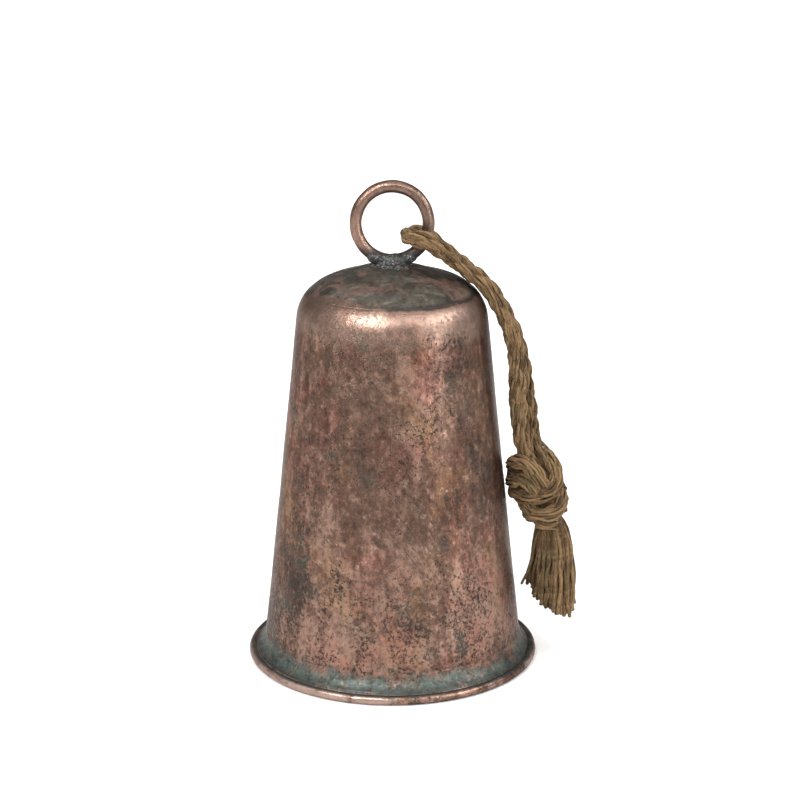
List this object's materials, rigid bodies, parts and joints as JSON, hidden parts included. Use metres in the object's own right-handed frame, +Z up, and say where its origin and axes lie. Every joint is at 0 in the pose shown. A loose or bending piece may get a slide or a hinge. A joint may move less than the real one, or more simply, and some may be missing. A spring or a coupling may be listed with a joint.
{
  "type": "yard dinner bell",
  "caption": "Flared sheet-metal hand bell with a rolled rim, a brazed hanging ring, an iron clapper and a knotted jute rope through the ring.",
  "frame": {"origin": "centre of the mouth, on the plane that the rolled rim stands on", "axes": "+Z up along the bell's axis through the hanging ring, -Y the front, the ring's hole along Y, the rope on the +X side"},
  "size_m": [0.1461, 0.1278, 0.2123],
  "materials": {
    "copper_skin": "copper-finished sheet steel, aged and speckled",
    "copper_rim": "copper-finished sheet steel with verdigris in the hollow",
    "steel_wire": "plain wire, hidden in the rim",
    "crown_patina": "dark grey-brown heat patina over copper finish",
    "ring_copper": "copper-finished rod, worn bright on top",
    "braze": "rough grey-green braze",
    "clapper_iron": "dark oiled iron",
    "jute_rope": "natural twisted jute"
  },
  "bodies": {
    "bell": {"bell_wall": "copper_skin", "rim_flange": "copper_rim", "rim_wire": "steel_wire", "crown_cap": "crown_patina", "hanging_ring": "ring_copper", "ring_braze_front": "braze", "ring_braze_back": "braze", "clapper_staple": "clapper_iron", "staple_braze_front": "braze", "staple_braze_back": "braze"},
    "clapper_link": {"clapper_link": "clapper_iron"},
    "clapper": {"clapper_rod": "clapper_iron", "clapper_ball": "clapper_iron"},
    "rope": {"rope_loop": "jute_rope", "rope_knot": "jute_rope", "rope_tassel": "jute_rope"}
  },
  "joints": [
    {"name": "link_swing", "type": "hinge", "parent": "bell", "child": "clapper_link", "pos_m": [0, 0, 0.16311], "axis": [0, 1, 0], "range_deg": [-16.8, 16.8]},
    {"name": "clapper_sway", "type": "hinge", "parent": "clapper_link", "child": "clapper", "pos_m": [0, 0, 0.14811], "axis": [1, 0, 0], "range_deg": [-3.5, 3.5]},
    {"name": "rope_lift", "type": "hinge", "parent": "bell", "child": "rope", "pos_m": [0, 0, 0.19331], "axis": [0, -1, 0], "range_deg": [0, 150]}
  ]
}
